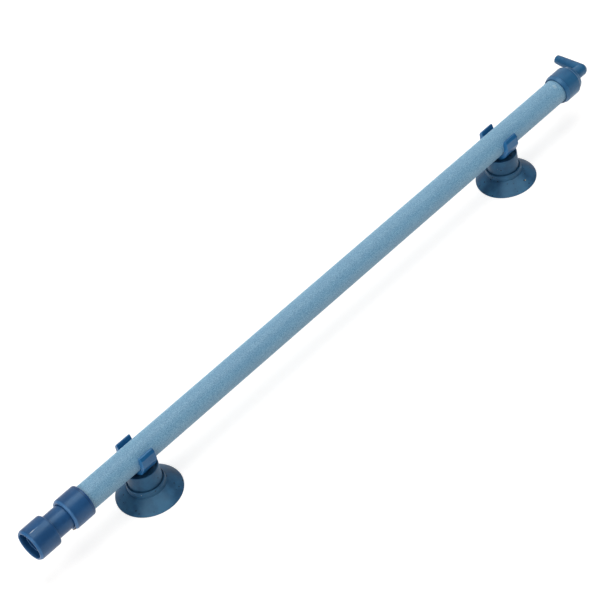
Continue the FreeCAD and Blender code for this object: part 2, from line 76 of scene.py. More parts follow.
# %% Read where things are
tube_low, tube_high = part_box("porous_tube")
tube_axis_z = (tube_low[2] + tube_high[2]) / 2
ferrule_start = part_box("tube_ferrule")[0][0]
coupling_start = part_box("extension_coupling")[0][0]
cap_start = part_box("inlet_cap")[0][0]
print("the tube's axis is %.1f mm above the floor" % (tube_axis_z / MM))

# %% [markdown]
# ## Helpers for materials
#
# A material in Blender is a small machine of nodes. Four helpers keep the cells short: one adds a node and sets its
# values, and the others mix colours, calculate, and stretch a value from one range to another.

# %% Node helpers
def add_node(tree, kind, label="", **values):
    """Adds a node, and sets its properties, or its inputs by name."""
    node = tree.nodes.new(kind)
    node.label = label
    for name, value in values.items():
        if hasattr(node, name):
            setattr(node, name, value)
        else:
            node.inputs[name.replace("_", " ")].default_value = value
    return node


def fill_input(tree, node, place, value):
    """Links a socket into an input, or sets the input to a fixed value."""
    if hasattr(value, "is_output"):
        tree.links.new(value, node.inputs[place])
    else:
        node.inputs[place].default_value = value


def from_hex(code):
    """An sRGB colour such as 8ab0c4, as the linear numbers that shaders take."""
    channels = [int(code[place:place + 2], 16) / 255 for place in (0, 2, 4)]
    linear = [c / 12.92 if c <= 0.04045 else ((c + 0.055) / 1.055) ** 2.4 for c in channels]
    return (*linear, 1.0)


def mix_colours(tree, mask, first, second):
    """Mixes two colours by a mask; each may be a hex code or a socket."""
    node = add_node(tree, "ShaderNodeMix", "blend", data_type="RGBA")
    for place, value in ((0, mask), (6, first), (7, second)):
        fill_input(tree, node, place, from_hex(value) if isinstance(value, str) else value)
    return node.outputs[2]


def calculate(tree, operation, first, second, third=0.5, clamp=False):
    """A Math node with numbers or sockets as its inputs."""
    node = add_node(tree, "ShaderNodeMath", operation.lower(), operation=operation, use_clamp=clamp)
    for place, value in enumerate((first, second, third)):
        fill_input(tree, node, place, value)
    return node.outputs[0]


def remap(tree, value, low, high, to_low=0.0, to_high=1.0):
    """Stretches a value smoothly from one range to another."""
    node = add_node(tree, "ShaderNodeMapRange", "remap", interpolation_type="SMOOTHSTEP",
                    From_Min=low, From_Max=high, To_Min=to_low, To_Max=to_high)
    tree.links.new(value, node.inputs["Value"])
    return node.outputs["Result"]


# %% [markdown]
# ## One object for each finish
#
# Every finish here is a Principled BSDF whose colour is built up in layers, as paint is. A small class keeps what
# belongs together: the material, its nodes, the place on the object that its patterns read, and the colour so far.
# Values that are the same all over a surface are set on the shader's own sockets, and only what changes from place to
# place gets a link. Each layer links its result straight away, so the material is complete after every step.

# %% A finish and its layers
class Finish:
    """A material in the making, with its colour so far."""

    def __init__(self, name, **shader_values):
        self.material = bpy.data.materials.new(name)
        self.material.use_nodes = True
        self.tree = self.material.node_tree
        self.shader = self.tree.nodes["Principled BSDF"]
        for socket, value in shader_values.items():
            self.shader.inputs[socket.replace("_", " ")].default_value = value
        self.place = add_node(self.tree, "ShaderNodeTexCoord", "where on the object").outputs["Object"]
        self.colour = None
        print("material:", name)

    def feed(self, socket, source):
        """Links a colour, value or normal into one of the shader's sockets."""
        self.tree.links.new(source, self.shader.inputs[socket])

    def use_colour(self, mask, first, second):
        """Mixes two colours by a mask and takes the result as the surface's colour."""
        self.colour = mix_colours(self.tree, mask, first, second)
        self.feed("Base Color", self.colour)

    def paint(self, mask, strength, colour):
        """Lays another colour over the one so far, by a mask and a strength."""
        share = calculate(self.tree, "MULTIPLY", mask, strength)
        self.use_colour(share, self.colour, colour)

    def add_bump(self, height, label, strength, depth):
        """Lets a height tilt the surface, with its depth in metres."""
        bump = add_node(self.tree, "ShaderNodeBump", label, Strength=strength, Distance=depth)
        self.tree.links.new(height, bump.inputs["Height"])
        self.feed("Normal", bump.outputs["Normal"])


# %% [markdown]
# ## Shared effects as node groups
#
# Five effects are used again and again. Each is built once as a node group with named inputs:
#
# - *cloudiness* varies a surface slowly, as pigment does in moulded plastic and rubber, and stretched along the tube
#   it gives fine lines;
# - *grain* is a fine pebbled height, from the beads of the sintered tube down to the satin of a mould;
# - *specks* picks a few small dots out of a cell pattern, for dirt and dust;
# - *spot* is one mark at a given place, round or drawn out along the tube, for a scratch, a smudge, a single fleck
#   and a wide patch of painted light;
# - *band* is a ring round the tube's axis between two places, for painted light and painted shade on rims.
#
# They could be drawn as images, but procedural noise in object coordinates stays sharp at any distance and needs no
# unwrapping.

# %% Group helpers
def new_group(name, inputs, outputs):
    """An empty shader node group that reads a place and float inputs."""
    group = bpy.data.node_groups.new(name, "ShaderNodeTree")
    group.interface.new_socket("Place", in_out="INPUT", socket_type="NodeSocketVector")
    for label, value in inputs:
        socket = group.interface.new_socket(label, in_out="INPUT", socket_type="NodeSocketFloat")
        socket.default_value = value
    for label in outputs:
        group.interface.new_socket(label, in_out="OUTPUT", socket_type="NodeSocketFloat")
    print("group:", group.name)
    return group, group.nodes.new("NodeGroupInput"), group.nodes.new("NodeGroupOutput")


def place_group(finish, group, **values):
    """Puts a group into a finish and sets its inputs."""
    node = finish.tree.nodes.new("ShaderNodeGroup")
    node.node_tree = group
    finish.tree.links.new(finish.place, node.inputs["Place"])
    for name, value in values.items():
        node.inputs[name].default_value = value
    return node


# %% Cloudiness
CLOUD_EDGES = (0.3, 0.7)
cloud_group, cloud_in, cloud_out = new_group("cloudiness", [("Size", 0.01), ("Stretch", 1.0)], ["Mask"])
cloud_split = add_node(cloud_group, "ShaderNodeSeparateXYZ")
cloud_join = add_node(cloud_group, "ShaderNodeCombineXYZ")
cloud_group.links.new(cloud_in.outputs["Place"], cloud_split.inputs[0])
cloud_along = calculate(cloud_group, "DIVIDE", cloud_split.outputs["X"], cloud_in.outputs["Stretch"])
cloud_group.links.new(cloud_along, cloud_join.inputs["X"])
cloud_group.links.new(cloud_split.outputs["Y"], cloud_join.inputs["Y"])
cloud_group.links.new(cloud_split.outputs["Z"], cloud_join.inputs["Z"])
cloud_noise = add_node(cloud_group, "ShaderNodeTexNoise", "clouds", Detail=3.0, Roughness=0.55)
cloud_scale = calculate(cloud_group, "DIVIDE", 1.0, cloud_in.outputs["Size"])
cloud_group.links.new(cloud_join.outputs[0], cloud_noise.inputs["Vector"])
cloud_group.links.new(cloud_scale, cloud_noise.inputs["Scale"])
cloud_mask = remap(cloud_group, cloud_noise.outputs["Fac"], *CLOUD_EDGES)
cloud_group.links.new(cloud_mask, cloud_out.inputs["Mask"])

# %% Grain
PORE_EDGES = (0.32, 0.68)
NOISE_SHARE = 0.5
grain_group, grain_in, grain_out = new_group("grain", [("Bead", 0.0005)], ["Height", "Tint"])
grain_scale = calculate(grain_group, "DIVIDE", 1.0, grain_in.outputs["Bead"])
grain_cells = add_node(grain_group, "ShaderNodeTexVoronoi", "beads", feature="SMOOTH_F1", Smoothness=0.6)
grain_noise = add_node(grain_group, "ShaderNodeTexNoise", "between the beads", Detail=2.0, Roughness=0.6)
for node in (grain_cells, grain_noise):
    grain_group.links.new(grain_in.outputs["Place"], node.inputs["Vector"])
    grain_group.links.new(grain_scale, node.inputs["Scale"])
bead_height = calculate(grain_group, "SUBTRACT", 1.0, grain_cells.outputs["Distance"], clamp=True)
grain_height = calculate(grain_group, "MULTIPLY_ADD", grain_noise.outputs["Fac"], NOISE_SHARE, bead_height)
grain_tint = remap(grain_group, grain_noise.outputs["Fac"], *PORE_EDGES)
grain_group.links.new(grain_height, grain_out.inputs["Height"])
grain_group.links.new(grain_tint, grain_out.inputs["Tint"])

# %% Specks
speck_group, speck_in, speck_out = new_group(
    "specks", [("Spacing", 0.005), ("Radius", 0.1), ("Share", 0.3)], ["Mask"])
speck_scale = calculate(speck_group, "DIVIDE", 1.0, speck_in.outputs["Spacing"])
speck_cells = add_node(speck_group, "ShaderNodeTexVoronoi", "one dot a cell")
speck_group.links.new(speck_in.outputs["Place"], speck_cells.inputs["Vector"])
speck_group.links.new(speck_scale, speck_cells.inputs["Scale"])
speck_chosen = add_node(speck_group, "ShaderNodeSeparateColor", "chance")
speck_group.links.new(speck_cells.outputs["Color"], speck_chosen.inputs[0])
is_near = calculate(speck_group, "LESS_THAN", speck_cells.outputs["Distance"], speck_in.outputs["Radius"])
is_chosen = calculate(speck_group, "LESS_THAN", speck_chosen.outputs[0], speck_in.outputs["Share"])
speck_group.links.new(calculate(speck_group, "MULTIPLY", is_near, is_chosen), speck_out.inputs["Mask"])

# %% Spot
SPOT_EDGES = (0.5, 1.0)
spot_group, spot_in, spot_out = new_group(
    "spot", [("X", 0.0), ("Y", 0.0), ("Z", 0.0), ("Radius", 0.0003), ("Reach", 0.0003)], ["Mask"])
spot_centre = add_node(spot_group, "ShaderNodeCombineXYZ")
spot_shape = add_node(spot_group, "ShaderNodeCombineXYZ")
spot_away = add_node(spot_group, "ShaderNodeVectorMath", "from the spot", operation="SUBTRACT")
spot_scaled = add_node(spot_group, "ShaderNodeVectorMath", "in spot radii", operation="DIVIDE")
spot_length = add_node(spot_group, "ShaderNodeVectorMath", "how far", operation="LENGTH")
for axis, size in (("X", "Reach"), ("Y", "Radius"), ("Z", "Radius")):
    spot_group.links.new(spot_in.outputs[axis], spot_centre.inputs[axis])
    spot_group.links.new(spot_in.outputs[size], spot_shape.inputs[axis])
spot_group.links.new(spot_in.outputs["Place"], spot_away.inputs[0])
spot_group.links.new(spot_centre.outputs[0], spot_away.inputs[1])
spot_group.links.new(spot_away.outputs[0], spot_scaled.inputs[0])
spot_group.links.new(spot_shape.outputs[0], spot_scaled.inputs[1])
spot_group.links.new(spot_scaled.outputs[0], spot_length.inputs[0])
spot_mask = remap(spot_group, spot_length.outputs["Value"], *SPOT_EDGES, to_low=1.0, to_high=0.0)
spot_group.links.new(spot_mask, spot_out.inputs["Mask"])


def add_spot(finish, centre, radius, reach, colour, strength):
    """Paints one small mark, with its centre, radius and reach along the tube in mm."""
    spot = place_group(finish, spot_group, X=centre[0] * MM, Y=centre[1] * MM, Z=centre[2] * MM,
                       Radius=radius * MM, Reach=reach * MM)
    finish.paint(spot.outputs["Mask"], strength, colour)


# %% Band
band_group, band_in, band_out = new_group("band", [("Start", 0.0), ("End", 0.001), ("Blur", 0.0002)], ["Mask"])
band_along = add_node(band_group, "ShaderNodeSeparateXYZ")
band_group.links.new(band_in.outputs["Place"], band_along.inputs[0])
band_edges = []
for edge in ("Start", "End"):
    past = calculate(band_group, "SUBTRACT", band_along.outputs["X"], band_in.outputs[edge])
    share = calculate(band_group, "DIVIDE", past, band_in.outputs["Blur"])
    band_edges.append(remap(band_group, share, -1.0, 1.0))
band_mask = calculate(band_group, "SUBTRACT", band_edges[0], band_edges[1], clamp=True)
band_group.links.new(band_mask, band_out.inputs["Mask"])


def paint_rim_light_and_shade(finish, start_x, bands):
    """Paints rings of light and shade round the tube's axis: start, end and blur in mm from start_x, then colour and
    strength.
    """
    for start, end, blur, colour, strength in bands:
        band = place_group(finish, band_group, Start=(start_x + start) * MM, End=(start_x + end) * MM,
                           Blur=blur * MM)
        finish.paint(band.outputs["Mask"], strength, colour)
    print(finish.material.name, "- rings toned from x = %.1f mm:" % start_x, len(bands))


# %% [markdown]
# ## The porous tube
#
# The tube is sintered from fine plastic beads, so it has no gloss: it is a matt, pale blue with a fine grain, and it
# scatters light softly. Its colour drifts a little along the tube, and the pores between the beads look darker. The
# grain feeds a Bump node, and a little of it also tints the colour, because the pores are shadows too small to model.
# A faint pale smudge lies just before the cap.

# %% Porous plastic
porous_plastic = Finish("porous_plastic", Roughness=0.55, Specular_IOR_Level=1.0, Diffuse_Roughness=1.0,
                        Sheen_Weight=0.3, Sheen_Roughness=0.5, Sheen_Tint=(0.75, 0.88, 1.0, 1.0))
beads = place_group(porous_plastic, grain_group, Bead=0.0004)
clumps = place_group(porous_plastic, grain_group, Bead=0.0016)
drift = place_group(porous_plastic, cloud_group, Size=0.012, Stretch=4.0)
porous_plastic.use_colour(drift.outputs["Mask"], "8dc2dd", "97cbe3")
porous_plastic.use_colour(beads.outputs["Tint"], "5897be", porous_plastic.colour)
porous_plastic.paint(clumps.outputs["Tint"], 0.12, "a2cade")
add_spot(porous_plastic, (cap_start / MM - 2.6, -2.2, 28.35), radius=1.6, reach=1.1, colour="cfe4ea", strength=0.32)
porous_plastic.add_bump(beads.outputs["Height"], "pebbled skin", strength=0.6, depth=0.00012)

# %% [markdown]
# ## The moulded fittings
#
# The coupling, the ferrule and the cap are moulded in navy plastic with a satin gloss. Light spreads over a satin
# surface in a broad band, so the roughness is middling and drifts a little, and the tint of the gloss keeps that band
# bluish. Faint lines along the tube come from the mould's polishing: noise stretched along X gives them. Each fitting
# has a material of its own, because its rims get painted light and shade by their place along the tube, which would
# colour a neighbour.

# %% Moulded plastic
ROUGHNESS_DRIFT = 0.08
LINE_HEIGHT = 0.6


def moulded_plastic(name, dark, light, roughness):
    """A satin moulded plastic with slow colour drift, polishing lines and a very fine skin."""
    finish = Finish(name, Roughness=roughness, Specular_IOR_Level=0.6, Specular_Tint=(0.6, 0.85, 1.0, 1.0))
    drift = place_group(finish, cloud_group, Size=0.006, Stretch=1.5)
    lines = place_group(finish, cloud_group, Size=0.0007, Stretch=30.0)
    skin = place_group(finish, grain_group, Bead=0.0004)
    finish.use_colour(drift.outputs["Mask"], dark, light)
    smoothest = roughness - ROUGHNESS_DRIFT / 2
    finish.feed("Roughness", calculate(finish.tree, "MULTIPLY_ADD", lines.outputs["Mask"], ROUGHNESS_DRIFT, smoothest))
    height = calculate(finish.tree, "MULTIPLY_ADD", lines.outputs["Mask"], LINE_HEIGHT, skin.outputs["Height"])
    finish.add_bump(height, "mould's skin", strength=0.15, depth=0.00004)
    return finish


coupling_plastic = moulded_plastic("coupling_plastic", dark="184879", light="1f5387", roughness=0.38)
ferrule_plastic = moulded_plastic("ferrule_plastic", dark="184879", light="1f5387", roughness=0.38)
cap_plastic = moulded_plastic("cap_plastic", dark="1f5783", light="286693", roughness=0.38)

# %% [markdown]
# ## A scratch on the coupling
#
# The coupling's ring has one fine, light scratch along it, brightest at the mouth's end. It is too shallow to model,
# so two drawn-out spots mix a pale colour into the plastic: a longer faint one and a shorter bright one.

# %% Scratch the coupling
coupling_x = coupling_start / MM
add_spot(coupling_plastic, (coupling_x + 4.1, -1.35, 30.1), radius=0.16, reach=2.6, colour="7fa3c4", strength=0.5)
add_spot(coupling_plastic, (coupling_x + 3.0, -1.33, 30.1), radius=0.17, reach=1.7, colour="dfe9f0", strength=0.8)
print("scratch at x = %.1f mm" % (coupling_x + 3.0))

# %% [markdown]
# ## Painted light and shade on the rims
#
# The mouths of the fittings get a broad, pale rim of painted light, where the thin edge faces the lamp at the near
# end. The ferrule's rim on the tube's side gets painted shade instead, and a crisp line of painted shade parts it from
# the wall. The cap has painted shade on the face of its mouth, a pale band of painted light on its rim, lines of
# painted shade after the rim and at the shoulder, and a painted highlight behind the shoulder. The rings are mixed into
# the colour by their place along the tube.

# %% Paint light and shade on the rims
# Painted light on the pale rims, painted shade on the dark rings and lines.
paint_rim_light_and_shade(coupling_plastic, coupling_x, (
    (-1.0, 0.95, 0.3, "4480ba", 0.5),))
paint_rim_light_and_shade(ferrule_plastic, ferrule_start / MM, (
    (-1.0, 1.5, 0.4, "5489c0", 0.6),
    (9.8, 10.05, 0.1, "0c2a52", 0.75),
    (10.05, 12.0, 0.1, "143f74", 0.6)))
paint_rim_light_and_shade(cap_plastic, cap_start / MM, (
    (-1.0, 0.2, 0.15, "123c66", 0.35),
    (0.4, 2.3, 0.4, "4680b2", 0.3),
    (2.35, 2.6, 0.12, "123c66", 0.5),
    (9.55, 9.9, 0.1, "123c66", 0.8),
    (10.0, 10.7, 0.12, "5a8cb8", 0.6)))

# %% [markdown]
# ## The clips
#
# The clips are of the same family of plastic, a little brighter and smoother, because they are thin. Their near ends
# get a painted highlight of clear blue.

# %% Clip plastic
clip_plastic = moulded_plastic("clip_plastic", dark="13568b", light="1d679d", roughness=0.34)
for node in ("clip_near", "clip_far"):
    # Painted highlight on each clip's near end face.
    paint_rim_light_and_shade(clip_plastic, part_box(node)[0][0] / MM, ((-1.0, 0.3, 0.15, "3c8dca", 0.4),))

# %% [markdown]
# ## The suction cups
#
# Soft rubber is matt and dusty. Its slate blue is clouded, dark specks are spread all over it, and a few light ones
# are dust.

# %% Cup rubber
cup_rubber = Finish("cup_rubber", Roughness=0.5, Specular_IOR_Level=0.4, Specular_Tint=(0.65, 0.85, 1.0, 1.0))
clouds = place_group(cup_rubber, cloud_group, Size=0.005, Stretch=1.0)
dark_specks = place_group(cup_rubber, speck_group, Spacing=0.002, Radius=0.18, Share=0.4)
light_specks = place_group(cup_rubber, speck_group, Spacing=0.0045, Radius=0.05, Share=0.4)
skin = place_group(cup_rubber, grain_group, Bead=0.0006)
cup_rubber.use_colour(clouds.outputs["Mask"], "254f71", "33668b")
cup_rubber.paint(dark_specks.outputs["Mask"], 0.85, "0d1c2b")
cup_rubber.paint(light_specks.outputs["Mask"], 0.6, "a8b4b8")
cup_rubber.feed("Roughness", remap(cup_rubber.tree, clouds.outputs["Mask"], 0.0, 1.0, to_low=0.42, to_high=0.54))
cup_rubber.add_bump(skin.outputs["Height"], "rubber skin", strength=0.25, depth=0.00006)

# %% [markdown]
# ## Painted light and flecks on the cups
#
# The skirts are lighter on the side that faces the camera, where a wide, faint spot of painted light lies on them. Two
# flecks stand out, a pale one on the near cup's bead and a yellowish one with a dark edge on the far cup's skirt. Each
# mark is a spot of its own, placed from the middle of its cup.

# %% Mark the cups
near_middle, far_middle = (sum((Vector(corner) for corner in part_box(node)), Vector()) / 2 / MM
                           for node in ("suction_cup_near", "suction_cup_far"))
# Painted light: a wide, faint lighter spot on the side of each skirt that faces the camera.
for middle in (near_middle, far_middle):
    add_spot(cup_rubber, (middle.x - 5.5, middle.y - 11.0, 1.5), radius=9.0, reach=9.0, colour="5d8cab",
             strength=0.38)
add_spot(cup_rubber, (near_middle.x - 7.1, near_middle.y - 4.9, 6.6), radius=0.28, reach=0.28, colour="b5c2c6",
         strength=0.8)
add_spot(cup_rubber, (far_middle.x + 0.7, far_middle.y - 11.6, 2.8), radius=0.6, reach=0.6, colour="101d2a",
         strength=0.85)
add_spot(cup_rubber, (far_middle.x + 1.25, far_middle.y - 11.9, 2.7), radius=0.4, reach=0.4, colour="b3a878",
         strength=0.9)
print("cups marked at x = %.1f and %.1f mm" % (near_middle.x, far_middle.x))

# %% [markdown]
# ## Dressing the measured parts
#
# The tube and the clips keep their measured meshes. Each only gets its material, in place of the plain one that it
# came with.

# %% Give the tube and the clips their materials
DRESS = {"porous_tube": porous_plastic, "clip_near": clip_plastic, "clip_far": clip_plastic}
for node, finish in DRESS.items():
    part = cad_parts[node]
    for slot in part.material_slots:
        slot.material = finish.material
    print(node, "wears", finish.material.name, "on", len(part.data.polygons), "faces")

# %% [markdown]
# ## Turning a piece from its section
#
# The cups and the fittings are round, so each is drawn as half a section and turned about its axis. The section has
# only its corners. After the turn every corner is a ring of edges, and a bevel rounds the rings that are soft on the
# real piece. A number kept on each vertex says which corner it came from, so a ring is found by its number. A
# Subdivision Surface then melts the short bevels into the long walls, which gives the soft, even highlights of
# moulded plastic. A plain extruded circle would have hard rims that catch no light.

# %% Turn a section
TURN_STEPS = 64
MERGE_DISTANCE = 0.002 * MM


def turn_section(corners, closed):
    """Spins a section, given as distance from the axis and place along it in mm, about Z."""
    shape = bmesh.new()
    corner_mark = shape.verts.layers.int.new("corner")
    verts = [shape.verts.new((radius * MM, 0, place * MM)) for radius, place in corners]
    for number, vert in enumerate(verts):
        vert[corner_mark] = number
    following = verts[1:] + verts[:1] if closed else verts[1:]
    edges = [shape.edges.new(pair) for pair in zip(verts, following)]
    bmesh.ops.spin(shape, geom=verts + edges, axis=(0, 0, 1), cent=(0, 0, 0), angle=2 * math.pi,
                   steps=TURN_STEPS, use_merge=True)
    bmesh.ops.remove_doubles(shape, verts=shape.verts, dist=MERGE_DISTANCE)
    bmesh.ops.recalc_face_normals(shape, faces=shape.faces)
    return shape


def round_rings(shape, numbers, radius, segments=2):
    """Bevels the rings that came from the given corners, with the radius in mm."""
    corner_mark = shape.verts.layers.int["corner"]
    rings = [edge for edge in shape.edges
             if edge.verts[0][corner_mark] == edge.verts[1][corner_mark] and edge.verts[0][corner_mark] in numbers]
    bmesh.ops.bevel(shape, geom=rings, offset=radius * MM, offset_type="OFFSET", affect="EDGES",
                    segments=segments, profile=0.5, material=-1, clamp_overlap=True)


# %% Place a shape and make it a piece
def lay_along_tube(shape, start_x):
    """Turns a shape from +Z to +X and moves it to its place on the tube's axis."""
    bmesh.ops.rotate(shape, verts=shape.verts, cent=(0, 0, 0), matrix=Matrix.Rotation(math.pi / 2, 3, "Y"))
    bmesh.ops.translate(shape, verts=shape.verts, vec=(start_x, 0, tube_axis_z))


def make_piece(name, shape, finish, subdivisions=2):
    """Turns a bmesh into a smooth object with a finish."""
    bmesh.ops.recalc_face_normals(shape, faces=shape.faces)
    mesh = bpy.data.meshes.new(name)
    shape.to_mesh(mesh)
    shape.free()
    mesh.polygons.foreach_set("use_smooth", [True] * len(mesh.polygons))
    mesh.materials.append(finish.material)
    piece = bpy.data.objects.new(name, mesh)
    bpy.context.collection.objects.link(piece)
    if subdivisions:
        soften = piece.modifiers.new("soften", "SUBSURF")
        soften.levels = subdivisions
        soften.render_levels = subdivisions
    return piece


def stands_for(piece, node):
    """Lets a piece ride on the body in place of a measured part."""
    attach(piece, "root")
    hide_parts(node)
    print(piece.name, "replaces", node, "with", len(piece.data.polygons), "faces before softening")


# %% [markdown]
# ## The extension coupling
#
# The coupling is one moulding: a ring that takes the next tube, and a thinner neck. Its mouth has a broad rounded
# rim with painted light on it, brighter than the wall, and behind the rim a short spigot lies in the dark socket.

# %% Turn the coupling
COUPLING_SECTION = [
    (3.35, 2.0), (4.2, 2.0), (4.2, 9.4), (6.1, 9.4), (6.1, 0.25), (6.2, 0.0), (6.85, 0.0), (7.42, 1.1),
    (7.42, 11.0), (5.75, 11.0), (5.75, 24.5), (3.35, 24.5)]
COUPLING_MOUTH = (5, 6, 7)
COUPLING_SHOULDER = (8,)
COUPLING_CORNERS = (0, 1, 2, 3, 9, 10, 11)
shape = turn_section(COUPLING_SECTION, closed=True)
round_rings(shape, COUPLING_CORNERS, radius=0.2)
round_rings(shape, COUPLING_SHOULDER, radius=0.6, segments=3)
round_rings(shape, COUPLING_MOUTH, radius=0.22)
lay_along_tube(shape, coupling_start)
coupling = make_piece("moulded_coupling", shape, coupling_plastic)
stands_for(coupling, "extension_coupling")

# %% [markdown]
# ## The ferrule
#
# The ferrule joins the coupling's neck to the tube. Its rim on the neck's side is broad and round like the
# coupling's, with a small bead inside it and painted light on it, and on the tube's side it is narrower, with painted
# shade.

# %% Turn the ferrule
FERRULE_SECTION = [
    (3.0, 5.6), (6.2, 5.6), (6.2, 1.6), (5.88, 1.3), (5.9, 0.65), (6.05, 0.5), (6.85, 0.5), (7.42, 1.6),
    (7.45, 11.2), (6.5, 11.2), (6.1, 10.2), (6.1, 6.6), (4.2, 6.6), (4.2, 10.2), (3.0, 10.2)]
FERRULE_MOUTH = (6, 7)
FERRULE_TUBE_RIM = (8,)
FERRULE_CORNERS = (0, 1, 9, 10, 11, 12, 13, 14)
shape = turn_section(FERRULE_SECTION, closed=True)
round_rings(shape, FERRULE_CORNERS, radius=0.18)
round_rings(shape, FERRULE_TUBE_RIM, radius=0.55, segments=3)
round_rings(shape, FERRULE_MOUTH, radius=0.22)
lay_along_tube(shape, ferrule_start)
ferrule = make_piece("moulded_ferrule", shape, ferrule_plastic)
stands_for(ferrule, "tube_ferrule")

# %% [markdown]
# ## A rag of flash
#
# Where the mould's halves met, a few crumbs of torn plastic cling to the ferrule's mouth, under the neck. They are
# small icospheres, pressed flat and turned different ways, joined in one mesh. Their colour is patchy, greyish where
# the plastic is bruised and sandy where dirt sticks to it.

# %% Flash on the ferrule
flash_plastic = Finish("torn_flash", Roughness=0.7)
patches = place_group(flash_plastic, cloud_group, Size=0.0004, Stretch=1.0)
flash_plastic.use_colour(patches.outputs["Mask"], "857a76", "ccb398")
# Each crumb: mm from the ferrule's start, degrees round the axis, mm from the axis, radius in mm.
CRUMBS = ((0.3, 126, 6.7, 0.42), (-0.2, 127, 6.6, 0.42), (-0.7, 125, 6.45, 0.35), (-0.4, 121, 6.75, 0.28))
CRUMB_FLATNESS = Vector((1.0, 0.45, 0.7))
CRUMB_TURNS = (0.9, 0.4)
shape = bmesh.new()
for number, (along, angle, distance, radius) in enumerate(CRUMBS):
    turn = math.radians(angle)
    centre = Vector((ferrule_start / MM + along, -distance * math.sin(turn),
                     tube_axis_z / MM + distance * math.cos(turn)))
    turns = Euler((turn, CRUMB_TURNS[0] * number, CRUMB_TURNS[1] * number))
    bmesh.ops.create_icosphere(shape, subdivisions=2, radius=radius * MM,
                               matrix=Matrix.LocRotScale(centre * MM, turns, CRUMB_FLATNESS))
flash = make_piece("flash_crumbs", shape, flash_plastic, subdivisions=0)
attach(flash, "root")
print(flash.name, len(flash.data.polygons), "faces")

# %% [markdown]
# ## The inlet cap
#
# The cap closes the far end. A tapered shoulder leads from its body to a short stub, and an elbow turns the stub
# into a hose barb that points sideways and a little up. The body with its stub is one turned shape, and the barb
# with the ball of the elbow is another, turned about its own axis. A Boolean joins them into one skin, as the mould
# did, and its result is kept as the mesh.

# %% Turn the cap's body
CAP_SECTION = [
    (0.0, 10.8), (3.2, 10.8), (3.2, 2.4), (4.2, 2.4), (4.2, 7.0), (6.1, 7.0), (6.1, 0.5), (6.2, 0.0),
    (6.75, 0.0), (7.22, 1.75), (7.38, 1.95), (7.38, 9.8), (7.0, 9.9), (6.1, 12.4), (3.05, 12.4), (3.05, 19.5),
    (0.0, 19.5)]
CAP_MOUTH = (7, 8)
CAP_RIM_LINE = (9, 10)
CAP_BACK = (11, 12, 13)
CAP_CORNERS = (1, 2, 3, 4, 5, 14, 15)
shape = turn_section(CAP_SECTION, closed=False)
round_rings(shape, CAP_CORNERS, radius=0.2)
round_rings(shape, CAP_BACK, radius=0.12)
round_rings(shape, CAP_RIM_LINE, radius=0.05)
round_rings(shape, CAP_MOUTH, radius=0.16)
lay_along_tube(shape, cap_start)
cap = make_piece("moulded_cap", shape, cap_plastic)

# %% Turn the barb
ELBOW_PLACE = 19.5 * MM
BARB_SECTION = [(0.0, -3.05), (3.05, -3.05), (3.05, 0.4), (2.2, 14.5), (1.3, 14.5), (1.3, 8.5), (0.0, 8.5)]
BARB_ELBOW = (1,)
BARB_TIP = (3,)
BARB_BORE = (4, 5)
BARB_RISE = math.radians(5.0)
shape = turn_section(BARB_SECTION, closed=False)
round_rings(shape, BARB_ELBOW, radius=2.95, segments=6)
round_rings(shape, BARB_TIP, radius=0.45)
round_rings(shape, BARB_BORE, radius=0.15)
bmesh.ops.rotate(shape, verts=shape.verts, cent=(0, 0, 0),
                 matrix=Matrix.Rotation(BARB_RISE - math.pi / 2, 3, "X"))
bmesh.ops.translate(shape, verts=shape.verts, vec=(cap_start + ELBOW_PLACE, 0, tube_axis_z))
barb = make_piece("barb_blank", shape, cap_plastic)

# %% Join the barb to the cap
SHARP_ANGLE = math.radians(40)
joining = cap.modifiers.new("join the barb", "BOOLEAN")
joining.operation = "UNION"
joining.solver = "EXACT"
joining.object = barb
bpy.context.view_layer.update()
joined = bpy.data.meshes.new_from_object(cap.evaluated_get(bpy.context.evaluated_depsgraph_get()))
cap.modifiers.clear()
cap.data = joined
joined.polygons.foreach_set("use_smooth", [True] * len(joined.polygons))
joined.set_sharp_from_angle(angle=SHARP_ANGLE)
bpy.data.objects.remove(barb)
stands_for(cap, "inlet_cap")

# %% [markdown]
# ## The suction cups' shape
#
# A cup is soft, so nothing on it is sharp: a thin rim, a skirt that swings from round to hollow, a plump bead with a
# groove inside it, and the stem with its recess for the clip. The corners stay wide apart where the skirt is smooth,
# and the Subdivision Surface draws the curve between them. The cups lie a little uneven, the far one more so: the rim
# is drawn in on one side, so the vertices out there move towards the middle, more the further out they are.

# %% Turn the cups
CUP_SECTION = [
    (0.0, 3.9), (5.5, 3.75), (10.0, 2.15), (13.2, 0.5), (14.3, 0.0), (15.15, 0.0), (15.2, 0.45),
    (14.55, 0.95), (13.1, 2.1), (11.6, 3.05), (10.05, 3.98), (9.15, 4.6), (8.5, 4.75), (8.65, 5.4), (8.6, 7.0),
    (8.3, 7.7), (7.95, 7.65), (7.72, 7.0), (7.5, 7.1), (7.55, 15.4), (6.9, 15.4), (6.6, 13.9),
    (3.35, 13.9), (3.35, 9.0), (0.0, 9.0)]
CUP_RIM = (5, 6)
CUP_BEAD_FOOT = (12,)
CUP_GROOVE = (17, 18)
CUP_STEM_TOP = (19, 20)
CUP_HOLLOW = (21, 22, 23)
RIM_RADIUS = max(radius for radius, height in CUP_SECTION) * MM
SKIRT_START = 9.5 * MM
DRAWN_SIDE = Vector((-0.687, 0.727, 0.0))


